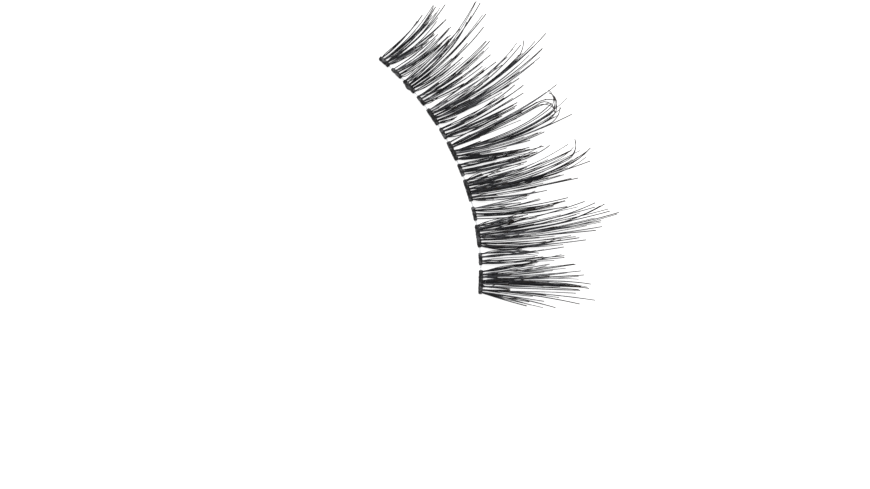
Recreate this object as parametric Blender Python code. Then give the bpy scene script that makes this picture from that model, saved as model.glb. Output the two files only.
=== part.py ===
"""A false eyelash strip, lying on its band with the lashes curling up.

A clear thread runs through thirteen wound knots, and a fan of lashes grows out of each knot.
The origin is under the middle knot, +X runs along the band there, and the lashes point to +Y.
"""

import math
from collections import namedtuple

import bmesh
import bpy

# Driving sizes, in metres

# Band: the curve of the eyelid, followed along the thread
BAND_LENGTH = 0.033
LID_RADIUS = 0.0348
THREAD_DIAMETER = 0.00016

# Knots: hair wound round the thread, a thick winding on the long knots and a thin one on the short
THICK_WINDING = 0.00022
THIN_WINDING = 0.00017

# Clearance between pieces that touch on the real strip
FIT_GAP = 0.00003

# Root rail: the gathered roots of one tuft, against the outer side of its knot
RAIL_WIDTH = 0.00012
RAIL_HEIGHT = 0.0002

# Lashes: the length of the longest one as seen from above, and a lock's section at its widest
LONGEST_LASH = 0.0174
LOCK_WIDTH = 0.00038
LOCK_THICKNESS = 0.00018

# Curl: the lashes lie on the surface at first, then rise in a curve
LYING_LENGTH = 0.0052
CURL_HEIGHT = 0.005
CURL_POWER = 2.2
SETTLE_LENGTH = 0.0013

# Shares that set how the sizes above are used

# Height of the thread over the surface, as a share of a short knot's radius: it flattens the knots
THREAD_HEIGHT_SHARE = 0.9
# Swell of a knot: places along it, and its radius there as a share of the full radius
KNOT_SWELL = ((0.0, 0.78), (0.07, 0.94), (0.2, 1.0), (0.8, 1.0), (0.93, 0.94), (1.0, 0.78))
# Part of its knot that a root rail covers, and part that the lock roots spread over
RAIL_SHARE = 0.94
ROOT_SPREAD = 0.86
# A lock's width at its root and tip, and the place where it is widest
ROOT_WIDTH_SHARE = 0.62
TIP_WIDTH_SHARE = 0.14
WIDEST_AT = 0.3
# The bend of a lock gathers towards its tip, and is smallest at a fan's two sides
BEND_POWER = 1.5
SIDE_BEND_SHARE = 0.35
# Neighbouring fans lie in turn on three levels, so that they can cross
LEVELS = 3

# Meshing: the distance at which the caps of a swept shape are welded on, and numbers of faces
WELD_DISTANCE = 0.0000002
THREAD_STEPS = 44
RAIL_STEPS = 3
LOCK_STEPS = 7
KNOT_SIDES = 9
LOCK_SECTION = ((-0.5, 0.0), (-0.26, 0.5), (0.26, 0.5), (0.5, 0.0), (0.26, -0.5), (-0.26, -0.5))

# One row for each knot and its tuft, from the end with the short lashes.
# start, length: the knot's place along the band, as shares of BAND_LENGTH.
# thick: a thick or a thin winding.
# locks: how many locks the fan has.
# first, peak, last: reach of the fan's first, longest and last lock, as shares of LONGEST_LASH.
# peak_at: where in the fan the longest lock stands.
# lean_first, lean_last: degrees from straight out of the band, towards the first knot.
# bend: degrees that the longest lock turns on its way out, towards the first knot.
Tuft = namedtuple(
    "Tuft", "start length thick locks first peak last peak_at lean_first lean_last bend"
)
TUFTS = (
    Tuft(0.000, 0.049, True, 6, 0.40, 0.57, 0.34, 0.60, -9, -20, 20),
    Tuft(0.062, 0.051, False, 4, 0.30, 0.47, 0.24, 0.65, -13, -15, 18),
    Tuft(0.125, 0.062, True, 6, 0.50, 0.78, 0.38, 0.55, 2, -10, 24),
    Tuft(0.203, 0.044, False, 4, 0.62, 0.64, 0.30, 0.20, -7, -16, 16),
    Tuft(0.264, 0.072, True, 7, 0.60, 0.98, 0.55, 0.55, -4, -12, 25),
    Tuft(0.350, 0.047, False, 4, 0.60, 0.66, 0.54, 0.40, -4, -13, 14),
    Tuft(0.409, 0.078, True, 8, 0.42, 0.86, 0.42, 0.50, 2, -18, 24),
    Tuft(0.501, 0.050, False, 4, 0.45, 0.62, 0.40, 0.40, -8, -12, 8),
    Tuft(0.564, 0.086, True, 8, 0.46, 0.90, 0.52, 0.50, 2, -14, 20),
    Tuft(0.670, 0.054, False, 4, 0.42, 0.67, 0.28, 0.60, -2, -10, 14),
    Tuft(0.739, 0.086, True, 9, 0.34, 1.00, 0.58, 0.60, 6, -13, 18),
    Tuft(0.845, 0.047, False, 4, 0.42, 0.60, 0.58, 0.60, 2, -3, 8),
    Tuft(0.910, 0.090, True, 9, 0.42, 0.78, 0.34, 0.60, 9, -14, 4),
)
MIDDLE = TUFTS[len(TUFTS) // 2]

# Worked out from the sizes
SHORT_KNOT_RADIUS = THREAD_DIAMETER / 2 + FIT_GAP + THIN_WINDING
THREAD_HEIGHT = THREAD_HEIGHT_SHARE * SHORT_KNOT_RADIUS
LEVEL_STEP = LOCK_THICKNESS + FIT_GAP


# The band's curve

def lid_angle(share):
    """Angle round the lid's curve of a place along the band, zero at the middle knot."""
    middle = MIDDLE.start + MIDDLE.length / 2
    return (share - middle) * BAND_LENGTH / LID_RADIUS


def beside_band(share, outwards):
    """Point level with the thread, this far out from it towards the lashes."""
    angle = lid_angle(share)
    radius = LID_RADIUS + outwards
    return (radius * math.sin(angle), radius * math.cos(angle) - LID_RADIUS, THREAD_HEIGHT)


def mixed(a, b, share):
    return a + (b - a) * share


def knot_radius(row):
    winding = THICK_WINDING if row.thick else THIN_WINDING
    return THREAD_DIAMETER / 2 + FIT_GAP + winding


# Collections, materials and meshes

def clear_scene():
    for item in list(bpy.data.objects):
        bpy.data.objects.remove(item, do_unlink=True)


def new_collection(name):
    group = bpy.data.collections.new(name)
    bpy.context.scene.collection.children.link(group)
    return group


def plain_material(name, colour, roughness, alpha=1.0):
    material = bpy.data.materials.new(name)
    material.use_nodes = True
    shader = material.node_tree.nodes["Principled BSDF"]
    shader.inputs["Base Color"].default_value = (*colour, 1.0)
    shader.inputs["Roughness"].default_value = roughness
    shader.inputs["Metallic"].default_value = 0.0
    shader.inputs["Alpha"].default_value = alpha
    return material


def section_curve(name, corners):
    """A closed flat outline, which is swept along a path."""
    curve = bpy.data.curves.new(name, "CURVE")
    curve.dimensions = "2D"
    spline = curve.splines.new("POLY")
    spline.points.add(len(corners) - 1)
    for point, (x, y) in zip(spline.points, corners):
        point.co = (x, y, 0.0, 1.0)
    spline.use_cyclic_u = True
    return bpy.data.objects.new(name, curve)


def swept_mesh(name, places, swells=None, section=None, depth=0.0):
    """Closed mesh of a section, or of a round wire, swept along the places."""
    curve = bpy.data.curves.new(name + "_path", "CURVE")
    curve.dimensions = "3D"
    curve.twist_mode = "Z_UP"
    curve.use_fill_caps = True
    spline = curve.splines.new("POLY")
    spline.points.add(len(places) - 1)
    for number, point in enumerate(spline.points):
        point.co = (*places[number], 1.0)
        point.radius = swells[number] if swells else 1.0
    if section:
        curve.bevel_mode = "OBJECT"
        curve.bevel_object = section
    else:
        curve.bevel_depth = depth
        curve.bevel_resolution = 2
    path = bpy.data.objects.new(name + "_path", curve)
    bpy.context.scene.collection.objects.link(path)
    if section:
        bpy.context.scene.collection.objects.link(section)
    bpy.context.view_layer.update()
    graph = bpy.context.evaluated_depsgraph_get()
    mesh = bpy.data.meshes.new_from_object(path.evaluated_get(graph))
    mesh.transform(path.matrix_world)
    bpy.data.objects.remove(path, do_unlink=True)
    if section:
        bpy.data.objects.remove(section, do_unlink=True)
    shape = bmesh.new()
    shape.from_mesh(mesh)
    bmesh.ops.remove_doubles(shape, verts=shape.verts, dist=WELD_DISTANCE)
    bmesh.ops.recalc_face_normals(shape, faces=shape.faces)
    shape.to_mesh(mesh)
    shape.free()
    mesh.name = name
    return mesh


def add_object(name, mesh, group, material=None):
    item = bpy.data.objects.new(name, mesh)
    group.objects.link(item)
    if material:
        mesh.materials.clear()
        mesh.materials.append(material)
    return item


def add_helper(name, mesh, helpers):
    item = add_object(name, mesh, helpers)
    item.hide_render = True
    item.display_type = "WIRE"
    return item


def add_boolean(item, operation, other):
    modifier = item.modifiers.new(operation.lower() + "_" + other.name, "BOOLEAN")
    modifier.operation = operation
    modifier.solver = "EXACT"
    modifier.object = other


# Thread

def thread_places():
    shares = [step / THREAD_STEPS for step in range(THREAD_STEPS + 1)]
    return [beside_band(share, 0.0) for share in shares]


def band_thread(group, material):
    """The clear thread, from the outer end of the first knot to that of the last."""
    mesh = swept_mesh("band_thread", thread_places(), depth=THREAD_DIAMETER / 2)
    return add_object("band_thread", mesh, group, material)


# Knots

def knot_section(row):
    """A round section with the flat underside that rests on the surface."""
    radius = knot_radius(row)
    flat = math.asin(min(1.0, THREAD_HEIGHT / radius))
    turn = (math.pi + 2 * flat) / KNOT_SIDES
    angles = [-flat + turn * side for side in range(KNOT_SIDES + 1)]
    corners = [(radius * math.cos(angle), radius * math.sin(angle)) for angle in angles]
    return section_curve("knot_section", corners)


def root_knot(number, row, group, helpers, material):
    """One wound knot, bored for the thread."""
    name = "root_knot_%02d" % number
    places = [beside_band(row.start + row.length * share, 0.0) for share, _ in KNOT_SWELL]
    swells = [swell for _, swell in KNOT_SWELL]
    mesh = swept_mesh(name, places, swells, section=knot_section(row))
    knot = add_object(name, mesh, group, material)
    past = FIT_GAP / BAND_LENGTH
    ends = (row.start - past, row.start + row.length / 2, row.start + row.length + past)
    bore = swept_mesh(
        "bore_%02d" % number,
        [beside_band(share, 0.0) for share in ends],
        depth=THREAD_DIAMETER / 2 + FIT_GAP,
    )
    add_boolean(knot, "DIFFERENCE", add_helper("bore_%02d" % number, bore, helpers))
    return knot


# Tufts

def rail_offset(row):
    return knot_radius(row) + FIT_GAP + RAIL_WIDTH / 2


def root_rail_mesh(name, row):
    inset = row.length * (1 - RAIL_SHARE) / 2
    first = row.start + inset
    last = row.start + row.length - inset
    shares = [mixed(first, last, step / RAIL_STEPS) for step in range(RAIL_STEPS + 1)]
    places = [beside_band(share, rail_offset(row)) for share in shares]
    corners = [(x * RAIL_WIDTH, y * RAIL_HEIGHT) for x, y in LOCK_SECTION]
    return swept_mesh(name, places, section=section_curve("rail_section", corners))


def peak_share(row, place):
    """How near a place in the fan is to its longest lock, from 0 at a side to 1 there."""
    if place < row.peak_at:
        return place / row.peak_at
    return (1 - place) / (1 - row.peak_at)


def lock_reach(row, place):
    side = row.first if place < row.peak_at else row.last
    return LONGEST_LASH * mixed(side, row.peak, peak_share(row, place))


def lock_swell(way):
    """Width of a lock at a share of its way out, as a share of LOCK_WIDTH."""
    if way < WIDEST_AT:
        return mixed(ROOT_WIDTH_SHARE, 1.0, way / WIDEST_AT)
    return mixed(1.0, TIP_WIDTH_SHARE, (way - WIDEST_AT) / (1 - WIDEST_AT))


def lock_height(travelled, swell, level):
    """Height of a lock's middle: it settles from the rail to its level, lies, then curls up."""
    lying = level * LEVEL_STEP + swell * LOCK_THICKNESS / 2
    settling = max(0.0, 1 - travelled / SETTLE_LENGTH) ** 2
    rising = max(0.0, travelled - LYING_LENGTH) / (LONGEST_LASH - LYING_LENGTH)
    return mixed(lying, THREAD_HEIGHT, settling) + CURL_HEIGHT * rising ** CURL_POWER


def lock_places(row, place, level):
    """Points along one lock, and its swell at each."""
    spread = row.length * ROOT_SPREAD
    share = row.start + (row.length - spread) / 2 + spread * place
    x, y, _ = beside_band(share, rail_offset(row))
    heading = math.radians(mixed(row.lean_first, row.lean_last, place)) - lid_angle(share)
    bend = math.radians(row.bend) * mixed(SIDE_BEND_SHARE, 1.0, peak_share(row, place))
    stride = lock_reach(row, place) / LOCK_STEPS
    places = []
    swells = []
    for step in range(LOCK_STEPS + 1):
        swell = lock_swell(step / LOCK_STEPS)
        places.append((x, y, lock_height(stride * step, swell, level)))
        swells.append(swell)
        bearing = heading + bend * ((step + 0.5) / LOCK_STEPS) ** BEND_POWER
        x -= stride * math.sin(bearing)
        y += stride * math.cos(bearing)
    return places, swells


def lash_tuft(number, row, group, helpers, material):
    """The fan of locks of one knot, fused to its root rail."""
    name = "lash_tuft_%02d" % number
    tuft = add_object(name, root_rail_mesh(name, row), group, material)
    level = (number - 1) % LEVELS
    for lock in range(row.locks):
        places, swells = lock_places(row, lock / (row.locks - 1), level)
        corners = [(x * LOCK_WIDTH, y * LOCK_THICKNESS) for x, y in LOCK_SECTION]
        section = section_curve("lock_section", corners)
        lock_name = "lock_%02d_%d" % (number, lock + 1)
        mesh = swept_mesh(lock_name, places, swells, section=section)
        add_boolean(tuft, "UNION", add_helper(lock_name, mesh, helpers))
    return tuft


def main():
    clear_scene()
    strip = new_collection("eyelash_strip")
    helpers = new_collection("cutters")
    clear_thread = plain_material("clear_thread", (0.86, 0.87, 0.88), 0.2, alpha=0.55)
    wound_hair = plain_material("wound_hair", (0.02, 0.02, 0.022), 0.42)
    lash_hair = plain_material("lash_hair", (0.014, 0.013, 0.014), 0.36)
    band_thread(strip, clear_thread)
    for number, row in enumerate(TUFTS, 1):
        root_knot(number, row, strip, helpers, wound_hair)
        lash_tuft(number, row, strip, helpers, lash_hair)


main()
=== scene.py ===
# %% [markdown]
# # A false eyelash strip
#
# A strip of false lashes is a clear thread with small bundles of black synthetic hair wound
# onto it. Each bundle makes a dark knot on the thread and a fan of tapered lashes beside it.
# The part was modelled first as plain solids. This lesson dresses those solids with single
# hairs, windings and a clear thread, and follows their places and sizes closely.

# %% Load the frame
import math
import random
from collections import namedtuple

import bpy
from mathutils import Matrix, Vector


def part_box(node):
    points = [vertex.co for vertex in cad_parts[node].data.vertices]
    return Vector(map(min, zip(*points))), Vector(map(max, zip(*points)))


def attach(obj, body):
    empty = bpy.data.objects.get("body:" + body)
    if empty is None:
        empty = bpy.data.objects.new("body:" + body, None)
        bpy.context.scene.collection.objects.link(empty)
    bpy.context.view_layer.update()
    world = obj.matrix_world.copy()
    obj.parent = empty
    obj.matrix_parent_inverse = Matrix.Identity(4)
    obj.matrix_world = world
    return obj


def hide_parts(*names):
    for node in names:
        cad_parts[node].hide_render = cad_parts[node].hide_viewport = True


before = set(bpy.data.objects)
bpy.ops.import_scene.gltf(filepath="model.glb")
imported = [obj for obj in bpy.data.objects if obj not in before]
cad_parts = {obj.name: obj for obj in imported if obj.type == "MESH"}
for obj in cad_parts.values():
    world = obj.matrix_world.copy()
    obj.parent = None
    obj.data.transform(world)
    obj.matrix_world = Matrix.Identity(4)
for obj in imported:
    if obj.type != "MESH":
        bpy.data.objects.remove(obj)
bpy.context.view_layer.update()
bpy.ops.object.select_all(action="DESELECT")
print("The frame has", len(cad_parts), "nodes")

# %% [markdown]
# ## The camera
#
# The photograph looks straight down on the strip from far away. A long lens high above the
# surface gives the same flat view. The camera is turned about its own axis until the lashes of
# the middle knot point the way they do in the picture, and moved until that knot is at its pixel.

# %% Camera
PHOTO_WIDTH = 870
PHOTO_HEIGHT = 489
METRES_PER_PIXEL = 0.0001236
MIDDLE_KNOT_X = 452.6
MIDDLE_KNOT_Y = 151.0
LASHES_POINT_AT = math.radians(25.9)
CAMERA_HEIGHT = 1.8

across = Vector((math.sin(LASHES_POINT_AT), math.cos(LASHES_POINT_AT), 0))
upwards = Vector((-math.cos(LASHES_POINT_AT), math.sin(LASHES_POINT_AT), 0))
centre = across * (PHOTO_WIDTH / 2 - MIDDLE_KNOT_X) * METRES_PER_PIXEL
centre += upwards * (MIDDLE_KNOT_Y - PHOTO_HEIGHT / 2) * METRES_PER_PIXEL
bpy.ops.object.camera_add(
    location=(centre.x, centre.y, CAMERA_HEIGHT),
    rotation=(0, 0, math.atan2(across.y, across.x)),
)
camera = bpy.context.object
camera.data.lens = camera.data.sensor_width * CAMERA_HEIGHT / (PHOTO_WIDTH * METRES_PER_PIXEL)
camera.data.clip_start = 0.01
camera.data.clip_end = 20
bpy.context.scene.camera = camera
print("Lens", round(camera.data.lens), "mm at", CAMERA_HEIGHT, "m")

# %% [markdown]
# ## The surface and the light
#
# The strip lies on a white table that glows a little, as a light box does, so the slots between
# the lashes stay white and the hair stands out dark. A dim even sky keeps the black hair black,
# and one wide soft lamp from the side gives it a faint sheen.

# %% Surface
SURFACE_SIZE = 3.0
SURFACE_DROP = 0.00001
SURFACE_GLOW = 0.72


def new_material(name):
    """A material and its shader."""
    material = bpy.data.materials.new(name)
    material.use_nodes = True
    return material, material.node_tree.nodes["Principled BSDF"]


bpy.ops.mesh.primitive_plane_add(size=SURFACE_SIZE, location=(0, 0, -SURFACE_DROP))
surface = bpy.context.object
surface.name = "table"
white, white_shader = new_material("white_table")
white_shader.inputs["Base Color"].default_value = (0.85, 0.85, 0.85, 1)
white_shader.inputs["Roughness"].default_value = 0.8
white_shader.inputs["Emission Color"].default_value = (1, 1, 1, 1)
white_shader.inputs["Emission Strength"].default_value = SURFACE_GLOW
surface.data.materials.append(white)

# %% Light
SKY_STRENGTH = 0.32
LAMP_WATTS = 1.6
LAMP_SIZE = 0.35
LAMP_PLACE = Vector((-0.25, 0.15, 0.42))

world = bpy.data.worlds.new("soft_sky")
world.use_nodes = True
world.node_tree.nodes["Background"].inputs["Color"].default_value = (1, 1, 1, 1)
world.node_tree.nodes["Background"].inputs["Strength"].default_value = SKY_STRENGTH
bpy.context.scene.world = world
bpy.ops.object.light_add(type="AREA", location=LAMP_PLACE)
lamp = bpy.context.object
lamp.data.size = LAMP_SIZE
lamp.data.energy = LAMP_WATTS
lamp.rotation_euler = LAMP_PLACE.to_track_quat("Z", "Y").to_euler()
bpy.context.scene.view_settings.view_transform = "Standard"
print("One lamp of", LAMP_WATTS, "W and a sky of", SKY_STRENGTH)

# %% [markdown]
# ## Measuring the band
#
# All hairs start at the band, so its curve is read from the thread's solid. The origin is on the
# curve, under the middle knot, and one end of the thread gives the radius. Seen from the middle
# of that circle, each knot's solid says where it starts and ends and how thick it is.

# %% Band
Knot = namedtuple("Knot", "start end middle radius")
CAP_CORNERS = 8


def corners_of(node):
    return [vertex.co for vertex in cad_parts[node].data.vertices]


thread_low, thread_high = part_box("band_thread")
THREAD_HEIGHT = (thread_low.z + thread_high.z) / 2
THREAD_RADIUS = (thread_high.z - thread_low.z) / 2
right_half = [place for place in corners_of("band_thread") if place.x > 0]
end_cap = sorted({tuple(place) for place in right_half}, key=lambda place: place[1])[:CAP_CORNERS]
end_x = sum(place[0] for place in end_cap) / len(end_cap)
end_y = sum(place[1] for place in end_cap) / len(end_cap)
LID_RADIUS = -(end_x ** 2 + end_y ** 2) / (2 * end_y)
print("Lid radius", round(LID_RADIUS * 1000, 2), "mm, thread", round(THREAD_RADIUS * 2000, 3), "mm")


# %% Knots
def beside_band(angle, outwards, height):
    """A point at this angle round the lid's curve, this far out towards the lashes."""
    radius = LID_RADIUS + outwards
    return Vector((radius * math.sin(angle), radius * math.cos(angle) - LID_RADIUS, height))


def measured_knot(number):
    places = corners_of("root_knot_%02d" % number)
    angles = [math.atan2(place.x, place.y + LID_RADIUS) for place in places]
    distances = [math.hypot(place.x, place.y + LID_RADIUS) for place in places]
    start, end = min(angles), max(angles)
    return Knot(start, end, (start + end) / 2, (max(distances) - min(distances)) / 2)


KNOT_COUNT = sum(name.startswith("root_knot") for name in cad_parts)
knots = {number: measured_knot(number) for number in range(1, KNOT_COUNT + 1)}
for number, knot in knots.items():
    length = round((knot.end - knot.start) * LID_RADIUS * 1000, 2)
    print("Knot", number, "is", length, "mm long,", round(knot.radius * 2000, 2), "mm thick")


def mixed(a, b, share):
    return a + (b - a) * share


# %% [markdown]
# ## Shared grain
#
# Hair, winding and thread all have small changes of tone and gloss along them. One node group
# gives a soft grain from the object's own coordinates, and each material places it with its own
# scale and strength.

# %% Grain group
def build_grain_group():
    """Noise between a low and a high value."""
    group = bpy.data.node_groups.new("fibre_grain", "ShaderNodeTree")
    group.interface.new_socket("Scale", in_out="INPUT", socket_type="NodeSocketFloat")
    group.interface.new_socket("Low", in_out="INPUT", socket_type="NodeSocketFloat")
    group.interface.new_socket("High", in_out="INPUT", socket_type="NodeSocketFloat")
    group.interface.new_socket("Grain", in_out="OUTPUT", socket_type="NodeSocketFloat")
    nodes = group.nodes
    entry = nodes.new("NodeGroupInput")
    place = nodes.new("ShaderNodeTexCoord")
    noise = nodes.new("ShaderNodeTexNoise")
    noise.inputs["Detail"].default_value = 3
    spread = nodes.new("ShaderNodeMapRange")
    spread.inputs["From Min"].default_value = 0.32
    spread.inputs["From Max"].default_value = 0.68
    leave = nodes.new("NodeGroupOutput")
    links = group.links
    links.new(place.outputs["Object"], noise.inputs["Vector"])
    links.new(entry.outputs["Scale"], noise.inputs["Scale"])
    links.new(noise.outputs["Fac"], spread.inputs["Value"])
    links.new(entry.outputs["Low"], spread.inputs["To Min"])
    links.new(entry.outputs["High"], spread.inputs["To Max"])
    links.new(spread.outputs["Result"], leave.inputs["Grain"])
    return group


grain_group = build_grain_group()


def add_grain(material, scale, low, high):
    node = material.node_tree.nodes.new("ShaderNodeGroup")
    node.node_tree = grain_group
    node.inputs["Scale"].default_value = scale
    node.inputs["Low"].default_value = low
    node.inputs["High"].default_value = high
    return node.outputs["Grain"]


def add_ramp(material, source, stops):
    """The colour that a ramp with these places and colours gives for a value."""
    ramp = material.node_tree.nodes.new("ShaderNodeValToRGB")
    elements = ramp.color_ramp.elements
    while len(elements) < len(stops):
        elements.new(1.0)
    for element, (place, colour) in zip(elements, stops):
        element.position = place
        element.color = (*colour, 1)
    material.node_tree.links.new(source, ramp.inputs["Fac"])
    return ramp.outputs["Color"]


def add_blend(material, blend_type, one, other):
    """Two colours blended at full strength."""
    blend = material.node_tree.nodes.new("ShaderNodeMix")
    blend.data_type = "RGBA"
    blend.blend_type = blend_type
    blend.inputs["Factor"].default_value = 1.0
    material.node_tree.links.new(one, blend.inputs["A"])
    material.node_tree.links.new(other, blend.inputs["B"])
    return blend.outputs["Result"]


# %% [markdown]
# ## Lash hair
#
# The hairs are fine black plastic fibres with a soft sheen. That sheen is painted into their
# colour: each hair gets its own tone, from near black through charcoal to grey, as if it turned a
# little differently to the light, and single hairs can be told apart in the thick of a tuft.
# That painted sheen tone is an attribute of the mesh with one value for each hair.
# The hair's own UV map runs from 0 at the root to 1 at the tip, where every hair turns faintly
# brown.

# %% Hair material
SHEEN_TONE = "hair_painted_sheen"
# Painted sheen: the greyer tones stand in for light caught by hairs that turn towards it.
BLACK_TO_PAINTED_SHEEN = (
    (0.0, (0.008, 0.008, 0.010)),
    (0.45, (0.014, 0.014, 0.017)),
    (0.75, (0.050, 0.052, 0.058)),
    (1.0, (0.170, 0.172, 0.185)),
)
TIP_BROWN = ((0.8, (0, 0, 0)), (1.0, (0.030, 0.018, 0.008)))


def build_hair_material():
    material, shader = new_material("lash_fibre")
    nodes, links = material.node_tree.nodes, material.node_tree.links
    sheen_tone = nodes.new("ShaderNodeAttribute")
    sheen_tone.attribute_name = SHEEN_TONE
    painted_sheen = add_ramp(material, sheen_tone.outputs["Fac"], BLACK_TO_PAINTED_SHEEN)
    # The grain breaks the hair colour into patches: partly the fibre's own random tone, partly
    # painted sheen.
    painted_sheen_grain = add_blend(material, "MULTIPLY", painted_sheen, add_grain(material, 1500, 0.5, 1.7))
    along = nodes.new("ShaderNodeUVMap")
    along.uv_map = "UVMap"
    split = nodes.new("ShaderNodeSeparateXYZ")
    links.new(along.outputs["UV"], split.inputs["Vector"])
    brown = add_ramp(material, split.outputs["X"], TIP_BROWN)
    links.new(add_blend(material, "ADD", painted_sheen_grain, brown), shader.inputs["Base Color"])
    links.new(add_grain(material, 9000, 0.42, 0.6), shader.inputs["Roughness"])
    shader.inputs["Specular IOR Level"].default_value = 0.22
    return material


hair_material = build_hair_material()

# %% [markdown]
# ## How one lash grows
#
# A lash leaves its knot near the surface, lies along it for a while, and then curls up. Seen from
# above it starts at an angle to the band and turns on the way out, most near the tip, and some
# tips hook. A curve object suits it: a path of 17 points with a radius at each becomes a tapered
# tube of about a hundred faces. A hooked lash has 37 points, so that its tip stays round.

# %% Lash route
USUAL_EVEN = 0.48
Lash = namedtuple("Lash", "root reach lean bend late hook hairs even", defaults=(USUAL_EVEN,))

LYING_LENGTH = 0.0052
CURL_HEIGHT = 0.005
CURL_POWER = 2.2
SETTLE_LENGTH = 0.0013
LONGEST_LASH = 0.0174
LEVELS = 3
LEVEL_STEP = 0.00021
HOOK_FROM = 0.82
LASH_STEPS = 16
HOOKED_STEPS = 36
ROOT_INSIDE = 0.3


def lash_height(travelled, floor, curl):
    """Height of a lash that settles from its knot, lies at this height and then curls up."""
    settling = max(0.0, 1 - travelled / SETTLE_LENGTH) ** 2
    rising = max(0.0, travelled - LYING_LENGTH) / (LONGEST_LASH - LYING_LENGTH)
    return mixed(floor, THREAD_HEIGHT, settling) + curl * CURL_HEIGHT * rising ** CURL_POWER


def lash_bearing(knot, lash, way):
    turn = lash.lean + lash.bend * way ** lash.late
    turn += lash.hook * max(0.0, (way - HOOK_FROM) / (1 - HOOK_FROM))
    return math.radians(turn) - knot.middle


def lash_route(knot, lash, floor, curl):
    """Points along one lash."""
    angle = mixed(knot.start, knot.end, lash.root)
    place = beside_band(angle, knot.radius * ROOT_INSIDE, 0)
    steps = HOOKED_STEPS if lash.hook else LASH_STEPS
    stride = lash.reach / 1000 / steps
    route = []
    for step in range(steps + 1):
        route.append(Vector((place.x, place.y, lash_height(stride * step, floor, curl))))
        bearing = lash_bearing(knot, lash, (step + 0.5) / steps)
        place += Vector((-math.sin(bearing), math.cos(bearing), 0)) * stride
    return route


# %% [markdown]
# ## From routes to hairs
#
# A lash in the picture is taken as one to six hairs that leave the knot as one strand. They lie
# side by side like the barbs of a slim feather, widest somewhere before the middle, and close up
# again towards the tip. The first hair follows the lash's route to its end. The others stop
# before it and so turn less on the way. Hairs that end together also lie closer together.

# %% Sizes of the hairs
HAIR_RADIUS = 0.000048
LEADER_SHARE = 1.3
STOUT_SHARES = (0.85, 1.1)
FINE_RADIUS = 0.000034
TIP_SHARE = 0.95
TAPER_POWER = 7
ROOT_PITCH = 0.00036
STRAND_STRAY = 0.12
STRAND_WAVE = 2.4
KNOT_WAVE = 40
ROOT_STRAY = 0.00008
BELLY_PITCH = 0.00018
BELLY_SHARES = (0.6, 1.2)
UNEVEN_SPREAD = 1.5
EARLY_BELLY = 0.15
LATE_BELLY = 0.5
LEAN_STRAY = 2.6
TIP_STRAY = 0.0001
TUFT_THICKNESS = 0.00018
HOOKING_SHARE = 0.12
LEAST_CURL = 0.75
MOST_CURL = 0.89


# %% Course of one hair
def hair_radius(way, radius):
    return radius * mixed(1.0, TIP_SHARE, way ** TAPER_POWER)


def side_of(route, step):
    """The way across a route, level with the surface."""
    after = route[min(step + 1, len(route) - 1)]
    before = route[max(step - 1, 0)]
    return (after - before).cross(Vector((0, 0, 1))).normalized()


def root_strand(knot, root):
    """The middle of the nearest of the strands, almost evenly spaced, that leave the knot."""
    count = max(2, round((knot.end - knot.start) * LID_RADIUS / ROOT_PITCH))
    strand = min(count - 1, max(0, int(root * count)))
    stray = STRAND_STRAY * math.sin(strand * STRAND_WAVE + knot.middle * KNOT_WAVE)
    return (strand + 0.5 + stray) / count


def belly(way, widest):
    """How far aside a hair lies along its way: 0 at the root, 1 where widest, 0 at the tip."""
    if way < widest:
        return math.sin(math.pi / 2 * way / widest)
    return math.cos(math.pi / 2 * (way - widest) / (1 - widest))


def moved_aside(route, dice, belly_aside, tip_aside):
    """A route moved sideways by different amounts at its root, belly and tip."""
    widest = dice.uniform(EARLY_BELLY, LATE_BELLY)
    root_aside = dice.uniform(-1, 1) * ROOT_STRAY
    moved = []
    for step, place in enumerate(route):
        way = step / (len(route) - 1)
        aside = mixed(root_aside, tip_aside, way) + belly_aside * belly(way, widest)
        moved.append(place + side_of(route, step) * aside)
    return moved


def shortened(lash, share):
    """The same lash when it stops at a share of its reach."""
    hooking = max(0.0, 1 - (1 - share) / HOOKING_SHARE)
    bend = lash.bend * share ** lash.late
    return lash._replace(reach=lash.reach * share, bend=bend, hook=lash.hook * hooking)


# %% Hairs of one lash
def hairs_of_lash(knot, lash, level, radius, dice):
    """Routes and radii of the hairs that make one lash."""
    hairs = []
    for number in range(lash.hairs):
        floor = radius * LEADER_SHARE + level * LEVEL_STEP + dice.random() * TUFT_THICKNESS
        hair = lash._replace(root=root_strand(knot, lash.root))
        if number:
            hair = shortened(hair, dice.uniform(lash.even, 1.0))
            hair = hair._replace(lean=hair.lean + dice.uniform(-1, 1) * LEAN_STRAY)
        route = lash_route(knot, hair, floor, dice.uniform(LEAST_CURL, MOST_CURL))
        rank = ((number + 1) // 2) * (1 if number % 2 else -1)
        pitch = BELLY_PITCH * (UNEVEN_SPREAD - lash.even) * dice.uniform(*BELLY_SHARES)
        tip_aside = dice.uniform(-1, 1) * TIP_STRAY if number else 0.0
        route = moved_aside(route, dice, rank * pitch, tip_aside)
        stout = radius * (dice.uniform(*STOUT_SHARES) if number else LEADER_SHARE)
        last = len(route) - 1
        hairs.append((route, [hair_radius(step / last, stout) for step in range(last + 1)]))
    return hairs


# %% [markdown]
# ## Loose hairs
#
# Between the lashes of the chart lie single hairs. Short stout ones darken the first third, as
# many hairs in a real tuft end there, and fine ones draw the thin grey lines further out. Each
# takes a course between two neighbours of the chart.

# %% Loose hairs
SHORT_SHARES = (0.06, 0.32)
SHORT_LEAN = 4.0
FINE_PER_HAIR = 0.7
FINE_SHARES = (0.3, 0.98)
FINE_LEAN = 3.6
LOOSE_BEND = 3.0
LOOSE_COLUMNS = ("root", "reach", "lean", "bend", "late")


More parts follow.
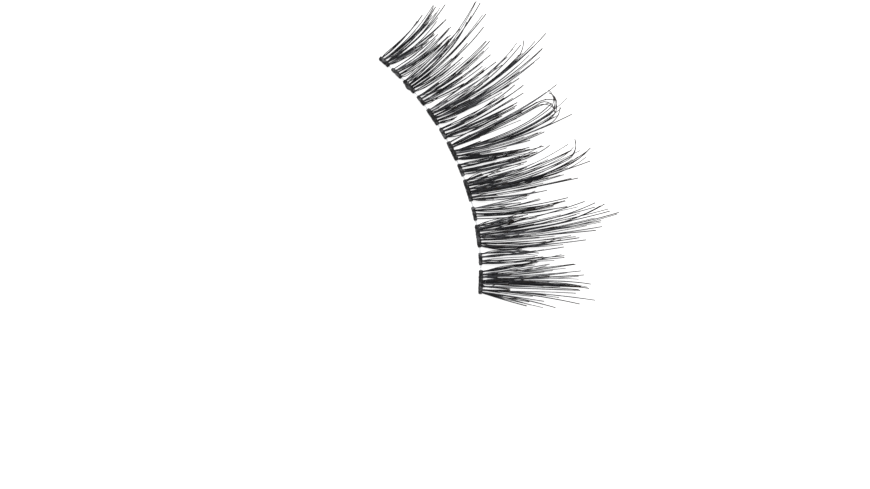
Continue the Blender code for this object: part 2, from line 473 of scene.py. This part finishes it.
def loose_lash(one, other, place, shares, lean, dice):
    """A single hair at a place between two neighbours of the chart."""
    columns = [mixed(getattr(one, name), getattr(other, name), place) for name in LOOSE_COLUMNS]
    lash = shortened(Lash(*columns, hook=0, hairs=1), dice.uniform(*shares))
    return lash._replace(
        lean=lash.lean + dice.uniform(-1, 1) * lean,
        bend=lash.bend + dice.uniform(-1, 1) * LOOSE_BEND,
    )


def loose_lashes(chart, per_hair, shares, lean, dice):
    """Single hairs spread between all neighbours of a chart, as many as its hairs call for."""
    lashes = []
    for one, other in zip(chart, chart[1:]):
        count = round((one.hairs + other.hairs) / 2 * per_hair)
        for number in range(count):
            place = (number + dice.random()) / count
            lashes.append(loose_lash(one, other, place, shares, lean, dice))
    return lashes


# %% Painted sheen tones
CAP_RINGS = 2


def give_sheen_tones(mesh, strands):
    """One painted sheen tone for each strand of a mesh that was just converted from their curves.

    The converted mesh has the two caps of every strand first, the last strand's at the very
    start, and then the tubes in order.
    """
    dice = random.Random(len(strands))
    sheen_tones = [dice.random() for _ in strands]
    corners = len(mesh.vertices) // sum(len(route) + CAP_RINGS for route, _ in strands)
    values = []
    for sheen_tone in reversed(sheen_tones):
        values += [sheen_tone] * (CAP_RINGS * corners)
    for sheen_tone, (route, _) in zip(sheen_tones, strands):
        values += [sheen_tone] * (len(route) * corners)
    mesh.attributes.new(SHEEN_TONE, "FLOAT", "POINT").data.foreach_set("value", values)


# %% Curves to a mesh
HAIR_ROUNDNESS = 1
WELD_DISTANCE = 0.0000001


def swept_piece(name, strands, roundness, material):
    """One mesh of many strands, each a tapered tube along its route."""
    bpy.ops.object.select_all(action="DESELECT")
    bpy.ops.curve.primitive_nurbs_path_add()
    piece = bpy.context.object
    piece.name = piece.data.name = name
    curve = piece.data
    curve.splines.clear()
    curve.bevel_depth = 1.0
    curve.bevel_resolution = roundness
    curve.use_fill_caps = True
    for route, radii in strands:
        spline = curve.splines.new("POLY")
        spline.points.add(len(route) - 1)
        for point, place, radius in zip(spline.points, route, radii):
            point.co = (*place, 1)
            point.radius = radius
    bpy.ops.object.convert(target="MESH")
    give_sheen_tones(piece.data, strands)
    bpy.ops.object.mode_set(mode="EDIT")
    bpy.ops.mesh.select_all(action="SELECT")
    bpy.ops.mesh.remove_doubles(threshold=WELD_DISTANCE)
    bpy.ops.mesh.normals_make_consistent(inside=False)
    bpy.ops.object.mode_set(mode="OBJECT")
    bpy.ops.object.shade_smooth()
    piece.data.materials.clear()
    piece.data.materials.append(material)
    return piece


# %% [markdown]
# ## The lash chart
#
# Each tuft has its own short chart, read from the picture like a hair stylist's: a row for each
# lash, in the order in which they stand along the knot. The columns are
#
# - root: where it leaves the knot, from 0 at the knot's start to 1 at its end
# - reach: its length as seen from above, in millimetres
# - lean: degrees from straight out of the knot, towards the first knot
# - bend: degrees it turns on the way, and late: how much of that turn waits for the tip
# - hook: degrees more near the tip, over the last 18 hundredths of the way
# - hairs: how many hairs lie together in it
# - even: the least length of its other hairs, as a share of the reach

# %% Chart of the tufts 1 to 4
charts = {}
charts[1] = (
    Lash(0.10, 7.4, -12, 19, 1.0, 0, 3, 0.6),
    Lash(0.28, 7.7, -15, 18, 1.0, 0, 2),
    Lash(0.45, 9.3, -16, 25, 1.0, 0, 6, 0.9),
    Lash(0.62, 10.3, -18, 26, 0.9, 0, 5, 0.6),
    Lash(0.75, 9.1, -20, 18, 1.0, 0, 1),
    Lash(0.82, 6.9, -22, 20, 1.6, 0, 1),
    Lash(0.85, 6.8, -21, 10, 1.0, 0, 4),
    Lash(0.95, 5.5, -27, 15, 1.0, 0, 2),
)
charts[2] = (
    Lash(0.08, 7.0, -15, 14, 1.0, 0, 1),
    Lash(0.25, 6.4, -15, 17, 1.0, 0, 1),
    Lash(0.38, 8.8, -20, 26, 1.0, 0, 3),
    Lash(0.55, 8.1, -16, 11, 1.0, 0, 2),
    Lash(0.72, 6.6, -15, 11, 1.0, 0, 2, 0.7),
    Lash(0.90, 3.4, -18, 8, 1.0, 0, 2),
)
charts[3] = (
    Lash(0.07, 9.3, -2, 8, 1.0, 0, 4, 0.8),
    Lash(0.20, 6.9, -2, 6, 1.0, 0, 2),
    Lash(0.35, 10.7, -5, 32, 2.0, 0, 1),
    Lash(0.48, 13.5, -6, 25, 0.9, 0, 4, 0.85),
    Lash(0.58, 13.0, -7, 18, 0.9, 0, 3, 0.8),
    Lash(0.68, 8.9, -12, 20, 1.0, 0, 2, 0.6),
    Lash(0.76, 11.7, -10, 21, 1.3, 0, 2),
    Lash(0.84, 7.4, -13, 13, 1.0, 0, 2, 0.6),
    Lash(0.94, 6.0, -14, 12, 1.0, 0, 2),
)
charts[4] = (
    Lash(0.10, 11.2, -8, 19, 1.4, 0, 4, 0.6),
    Lash(0.30, 9.8, -9, 15, 0.8, 0, 3, 0.6),
    Lash(0.50, 10.2, -10, 11, 0.7, 0, 3, 0.5),
    Lash(0.68, 8.6, -15, 15, 1.0, 0, 2),
    Lash(0.80, 8.4, -17, 14, 1.0, 0, 2),
    Lash(0.90, 3.4, -17, 9, 1.0, 0, 2),
)

# %% Chart of the tufts 5 to 8
charts[5] = (
    Lash(0.03, 10.2, 0, 3, 1.0, 0, 1),
    Lash(0.08, 10.6, -5, 5, 1.0, 0, 1),
    Lash(0.18, 11.7, -5, 13, 1.0, 0, 3),
    Lash(0.30, 14.0, -8, 26, 1.2, 0, 3, 0.6),
    Lash(0.42, 15.0, -10, 26, 1.3, 40, 2),
    Lash(0.50, 17.3, -7, 22, 1.3, 0, 4, 0.8),
    Lash(0.62, 15.9, -12, 21, 0.9, 0, 4, 0.75),
    Lash(0.72, 14.1, -13, 19, 0.9, 0, 2),
    Lash(0.84, 11.5, -14, 14, 0.9, 0, 3, 0.6),
    Lash(0.95, 2.2, -18, 4, 1.0, 0, 3),
)
charts[6] = (
    Lash(0.12, 10.6, -5, 18, 2.0, 0, 3),
    Lash(0.35, 11.5, -8, 16, 1.0, 0, 3, 0.7),
    Lash(0.52, 11.0, -6, 8, 1.0, 0, 2, 0.85),
    Lash(0.70, 9.8, -10, 8, 1.0, 0, 2, 0.85),
    Lash(0.82, 9.6, -14, 13, 0.6, 0, 4, 0.7),
    Lash(0.93, 7.4, -15, 11, 1.0, 0, 2),
)
charts[7] = (
    Lash(0.07, 9.2, 3, -2, 1.0, 0, 1),
    Lash(0.20, 9.8, 1, 0, 1.0, 0, 3),
    Lash(0.24, 15.1, 0, 14, 2.5, 0, 1),
    Lash(0.30, 14.8, -1, 11, 2.5, -130, 2, 0.9),
    Lash(0.37, 14.4, -1, 7, 1.0, -50, 3, 0.7),
    Lash(0.45, 13.6, -8, 28, 2.5, 0, 1),
    Lash(0.50, 16.2, -15, 38, 1.6, 115, 5, 0.96),
    Lash(0.56, 15.4, -17, 28, 1.0, 90, 1),
    Lash(0.62, 13.2, -18, 23, 0.9, 0, 2),
    Lash(0.64, 14.9, -17, 20, 1.0, 60, 1),
    Lash(0.68, 15.3, -17, 18, 0.9, 0, 1),
    Lash(0.74, 11.4, -19, 19, 1.3, 0, 3),
    Lash(0.82, 9.4, -17, 6, 1.0, 0, 1),
    Lash(0.90, 8.0, -19, 4, 1.0, 0, 4),
    Lash(0.97, 6.9, -22, 10, 1.0, 0, 3),
)
charts[8] = (
    Lash(0.10, 8.9, -8, 1, 1.0, 0, 4, 0.6),
    Lash(0.35, 10.6, -9, 3, 1.0, 0, 3, 0.5),
    Lash(0.50, 8.6, -11, 3, 1.0, 0, 2, 0.6),
    Lash(0.60, 9.6, -12, 10, 0.8, 0, 4, 0.7),
    Lash(0.75, 11.4, -14, 30, 2.2, 0, 2, 0.6),
    Lash(0.87, 7.4, -12, 11, 1.0, 0, 2, 0.6),
)

# %% Chart of the tufts 9 to 11
charts[9] = (
    Lash(0.04, 7.9, 2, -4, 1.0, 0, 5),
    Lash(0.15, 7.4, -3, 3, 1.0, 0, 4),
    Lash(0.25, 13.3, -6, 15, 1.0, 0, 4),
    Lash(0.38, 15.6, -8, 22, 1.2, 80, 4, 0.85),
    Lash(0.46, 16.2, -9, 42, 3.0, 0, 3, 0.85),
    Lash(0.54, 15.6, -9, 28, 1.6, 0, 3, 0.8),
    Lash(0.60, 8.7, -9, 3, 1.0, 0, 4),
    Lash(0.66, 15.4, -8, 11, 0.8, 0, 4, 0.7),
    Lash(0.76, 13.4, -9, 4, 1.0, 0, 1),
    Lash(0.86, 12.6, -9, 5, 1.0, 0, 3),
    Lash(0.96, 9.4, -17, 13, 0.9, 0, 4, 0.6),
)
charts[10] = (
    Lash(0.10, 7.9, 0, 12, 3.0, 0, 2, 0.7),
    Lash(0.18, 5.9, -5, -2, 1.0, 0, 1),
    Lash(0.22, 8.3, -9, 12, 1.0, 0, 2, 0.7),
    Lash(0.38, 11.7, -14, 16, 0.7, 0, 3, 0.8),
    Lash(0.46, 10.9, -14, 22, 1.3, 0, 3, 0.8),
    Lash(0.62, 11.4, -12, 10, 0.8, 0, 2, 0.7),
    Lash(0.87, 4.3, -10, 2, 1.0, 0, 1),
)
charts[11] = (
    Lash(0.06, 6.4, 7, -4, 1.0, 0, 6, 0.7),
    Lash(0.16, 13.6, 3, 9, 1.4, 0, 5, 0.4),
    Lash(0.26, 14.7, -1, 10, 1.0, 0, 2, 0.6),
    Lash(0.33, 14.9, 0, 18, 2.0, 0, 2, 0.3),
    Lash(0.40, 16.1, -3, 27, 2.0, 0, 2, 0.8),
    Lash(0.45, 16.4, -3, 11, 1.0, 0, 3, 0.6),
    Lash(0.50, 9.7, -4, 9, 1.2, 0, 3),
    Lash(0.53, 5.2, -4, 4, 1.2, 0, 5, 0.45),
    Lash(0.56, 15.2, -4, 8, 1.0, 0, 2, 0.7),
    Lash(0.62, 17.5, -6, 15, 0.8, 0, 3, 0.35),
    Lash(0.68, 15.2, -5, 7, 1.0, 0, 1),
    Lash(0.74, 14.4, -4, 2, 1.0, 0, 1),
    Lash(0.81, 12.3, -11, 13, 1.0, 0, 3),
    Lash(0.88, 13.1, -14, 14, 0.5, 0, 1),
    Lash(0.93, 8.9, -17, 18, 0.7, 0, 3, 0.6),
    Lash(0.97, 10.1, -20, 28, 0.7, 0, 4, 0.7),
)

# %% Chart of the tufts 12 and 13
charts[12] = (
    Lash(0.10, 7.2, 4, -12, 1.0, 0, 5, 0.8),
    Lash(0.25, 5.3, 1, 0, 1.0, 0, 3, 0.6),
    Lash(0.37, 10.3, 1, 6, 1.0, 0, 3),
    Lash(0.60, 10.3, -2, 5, 1.0, 0, 3),
    Lash(0.90, 10.3, -1, 4, 1.0, 0, 4, 0.6),
)
charts[13] = (
    Lash(0.04, 7.2, 12, 0, 1.0, 0, 5, 0.8),
    Lash(0.15, 8.5, 9, 3, 1.0, 0, 3),
    Lash(0.25, 11.7, 9, 1, 1.0, 0, 3),
    Lash(0.32, 12.3, 4, 4, 2.0, 0, 4, 0.85),
    Lash(0.38, 12.7, 5, 0, 1.0, 0, 3),
    Lash(0.45, 13.5, 2, -10, 4.0, 0, 5, 0.8),
    Lash(0.48, 7.5, 2, -1, 1.0, 0, 6, 0.6),
    Lash(0.52, 13.3, 1, -8, 3.0, 0, 2),
    Lash(0.58, 12.0, 0, -1, 1.0, 0, 1),
    Lash(0.60, 3.4, 0, -2, 1.0, 0, 5, 0.5),
    Lash(0.70, 12.2, -1, 1, 1.0, 0, 1),
    Lash(0.78, 14.1, 0, -7, 1.0, 0, 2),
    Lash(0.84, 12.3, -2, -9, 1.0, 0, 2),
    Lash(0.88, 7.9, -6, -1, 1.0, 0, 1),
    Lash(0.91, 9.4, -6, -8, 1.0, 0, 2),
    Lash(0.95, 6.1, -11, 3, 1.0, 0, 2),
    Lash(0.99, 5.9, -17, 4, 1.0, 0, 1),
)
print("Lashes in the charts:", sum(len(chart) for chart in charts.values()))

# %% [markdown]
# ## Short hairs
#
# Some tufts are almost black near their knot and others let the table show through right from the
# root. That comes from how many short hairs the maker has put in. The number here says how many
# there are for each hair of the chart.

# %% Short hairs of each tuft
short_per_hair = {
    1: 0.2,
    2: 0.0,
    3: 0.0,
    4: 0.7,
    5: 0.6,
    6: 1.1,
    7: 1.1,
    8: 0.0,
    9: 1.9,
    10: 0.0,
    11: 0.9,
    12: 0.1,
    13: 1.0,
}

# %% [markdown]
# ## Tufts
#
# Every tuft becomes one mesh that stands for its solid. Neighbouring tufts lie on three levels
# in turn, as their solids do, so that hairs cross over and under each other.

# %% Comb the tufts
hair_total = 0
for number, knot in knots.items():
    dice = random.Random(number)
    level = (number - 1) % LEVELS
    chart = charts[number]
    strands = []
    for lash in chart:
        strands += hairs_of_lash(knot, lash, level, HAIR_RADIUS, dice)
    for lash in loose_lashes(chart, short_per_hair[number], SHORT_SHARES, SHORT_LEAN, dice):
        strands += hairs_of_lash(knot, lash, level, HAIR_RADIUS, dice)
    for lash in loose_lashes(chart, FINE_PER_HAIR, FINE_SHARES, FINE_LEAN, dice):
        strands += hairs_of_lash(knot, lash, level, FINE_RADIUS, dice)
    tuft = swept_piece("tuft_hair_%02d" % number, strands, HAIR_ROUNDNESS, hair_material)
    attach(tuft, "root")
    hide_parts("lash_tuft_%02d" % number)
    hair_total += len(strands)
print("Hairs:", hair_total)

# %% [markdown]
# ## Wound knots
#
# Each knot is hair wound tightly round the thread and set with clear glue. A helix laid along the
# band gives the turns, two steep ones the other way cross over it, and a plain core fills the
# middle. Underneath, the turns are pressed flat on the surface. The third knot has a small lump on
# its inner side, where a few turns are bunched up.

# %% Winding material
# Painted glints: the bright end of this ramp stands in for highlights on the glossy turns; the
# darker stops are the fibre's own uneven black.
DARK_TO_PAINTED_GLINT = (
    (0.0, (0.008, 0.008, 0.009)),
    (0.5, (0.026, 0.026, 0.028)),
    (1.0, (0.20, 0.20, 0.21)),
)


def build_winding_material():
    material, shader = new_material("wound_fibre")
    links = material.node_tree.links
    painted_glints = add_ramp(material, add_grain(material, 2600, 0.0, 1.0), DARK_TO_PAINTED_GLINT)
    links.new(painted_glints, shader.inputs["Base Color"])
    links.new(add_grain(material, 12000, 0.3, 0.55), shader.inputs["Roughness"])
    shader.inputs["Specular IOR Level"].default_value = 0.35
    return material


winding_material = build_winding_material()

# %% Sizes of the winding
TURN_PITCH = 0.0001
TURN_STEPS = 14
TURN_SINK = 0.00001
TURN_STRAY = 0.12
LATEST_PHASE = 6
FIBRE_RADIUS = 0.000055
PRESSED_SHARE = 1.15
CROSS_TURNS_PER_MM = 2.2
SECOND_CROSS_SHARE = 0.6
KNOT_EDGE = 0.16
KNOT_EDGE_SHARE = 0.74
SLOW_DIP, SLOW_WAVE = 0.035, 17
QUICK_DIP, QUICK_WAVE = 0.03, 41
UNEVEN_SEED = 90
CORE_STEPS = 20
CORE_INSET_SHARE = 0.7
LUMPY_KNOT = 3
LUMP_ASIDE = 0.00024
LUMP_RADIUS = 0.0002
LUMP_STEPS = 10
LUMP_START, LUMP_LENGTH = 0.2, 0.55
LUMP_RISE_START, LUMP_RISE_LENGTH = 0.08, 0.84


# %% Winding routes
def knot_swell(way):
    """A knot's radius along it, as a share of the full radius: rounded at both ends."""
    edge = min(1.0, min(way, 1 - way) / KNOT_EDGE)
    return mixed(KNOT_EDGE_SHARE, 1.0, math.sqrt(max(0.0, 1 - (1 - edge) ** 2)))


def uneven(knot, way):
    """How thick the turns lie here: hand winding is never quite even."""
    seed = knot.middle * UNEVEN_SEED
    slow = SLOW_DIP * (1 + math.sin(way * SLOW_WAVE + seed))
    quick = QUICK_DIP * (1 + math.sin(way * QUICK_WAVE + seed * 2))
    return 1 - slow - quick


def winding_route(knot, turns, phase, sink, dice):
    """A helix round the thread, pressed flat where it meets the surface."""
    route = []
    steps = max(2, round(abs(turns) * TURN_STEPS))
    for step in range(steps + 1):
        way = step / steps
        turn = phase + 2 * math.pi * turns * way
        radius = (knot.radius - FIBRE_RADIUS - sink) * knot_swell(way) * uneven(knot, way)
        radius += dice.uniform(-1, 1) * FIBRE_RADIUS * TURN_STRAY
        height = max(FIBRE_RADIUS * PRESSED_SHARE, THREAD_HEIGHT + radius * math.sin(turn))
        inset = FIBRE_RADIUS / LID_RADIUS
        angle = mixed(knot.start + inset, knot.end - inset, way)
        route.append(beside_band(angle, radius * math.cos(turn), height))
    return route


# %% Core and lump
def core_route(knot):
    ways = [step / CORE_STEPS for step in range(CORE_STEPS + 1)]
    route = [beside_band(mixed(knot.start, knot.end, way), 0, THREAD_HEIGHT) for way in ways]
    core = knot.radius - FIBRE_RADIUS * CORE_INSET_SHARE
    return route, [core * knot_swell(way) * uneven(knot, way) for way in ways]


def lump_route(knot):
    """A few turns too many, bunched up on the side away from the lashes."""
    route, radii = [], []
    for step in range(LUMP_STEPS + 1):
        way = LUMP_START + step / LUMP_STEPS * LUMP_LENGTH
        swell = math.sin(math.pi * (LUMP_RISE_START + step / LUMP_STEPS * LUMP_RISE_LENGTH))
        aside = -LUMP_ASIDE * swell
        route.append(beside_band(mixed(knot.start, knot.end, way), aside, THREAD_HEIGHT))
        radii.append(LUMP_RADIUS * mixed(0.5, 1, swell))
    return route, radii


# %% Wind the knots
for number, knot in knots.items():
    dice = random.Random(100 + number)
    length = (knot.end - knot.start) * LID_RADIUS
    turns = length / TURN_PITCH
    strands = [core_route(knot)]
    crossing = CROSS_TURNS_PER_MM * length * 1000
    windings = ((turns, TURN_SINK), (-crossing, 0), (-crossing * SECOND_CROSS_SHARE, 0))
    for count, sink in windings:
        route = winding_route(knot, count, dice.uniform(0, LATEST_PHASE), sink, dice)
        radii = [FIBRE_RADIUS * dice.uniform(*STOUT_SHARES) for _ in route]
        strands.append((route, radii))
    if number == LUMPY_KNOT:
        strands.append(lump_route(knot))
    winding = swept_piece("wound_knot_%02d" % number, strands, HAIR_ROUNDNESS, winding_material)
    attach(winding, "root")
    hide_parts("root_knot_%02d" % number)
print("Wound", len(knots), "knots")

# %% [markdown]
# ## The clear thread
#
# The thread is clear drawn nylon. It shows only in the gaps, as a thin bright line with grey
# edges. Its solid is eight-sided, so a rounder tube on the same curve takes its place.

# %% Thread
THREAD_STEPS = 132
THREAD_ROUNDNESS = 4
CLEAR_TINTS = ((0.0, (0.80, 0.82, 0.84)), (1.0, (0.92, 0.93, 0.94)))


def build_thread_material():
    material, shader = new_material("clear_nylon")
    links = material.node_tree.links
    shader.inputs["Transmission Weight"].default_value = 0.8
    shader.inputs["IOR"].default_value = 1.45
    tint = add_ramp(material, add_grain(material, 3000, 0.0, 1.0), CLEAR_TINTS)
    links.new(tint, shader.inputs["Base Color"])
    links.new(add_grain(material, 6000, 0.12, 0.28), shader.inputs["Roughness"])
    return material


first, last = knots[1].start, knots[KNOT_COUNT].end
ways = [step / THREAD_STEPS for step in range(THREAD_STEPS + 1)]
route = [beside_band(mixed(first, last, way), 0, THREAD_HEIGHT) for way in ways]
strand = (route, [THREAD_RADIUS] * len(route))
thread = swept_piece("nylon_thread", [strand], THREAD_ROUNDNESS, build_thread_material())
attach(thread, "root")
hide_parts("band_thread")
print("Thread:", len(thread.data.polygons), "faces")
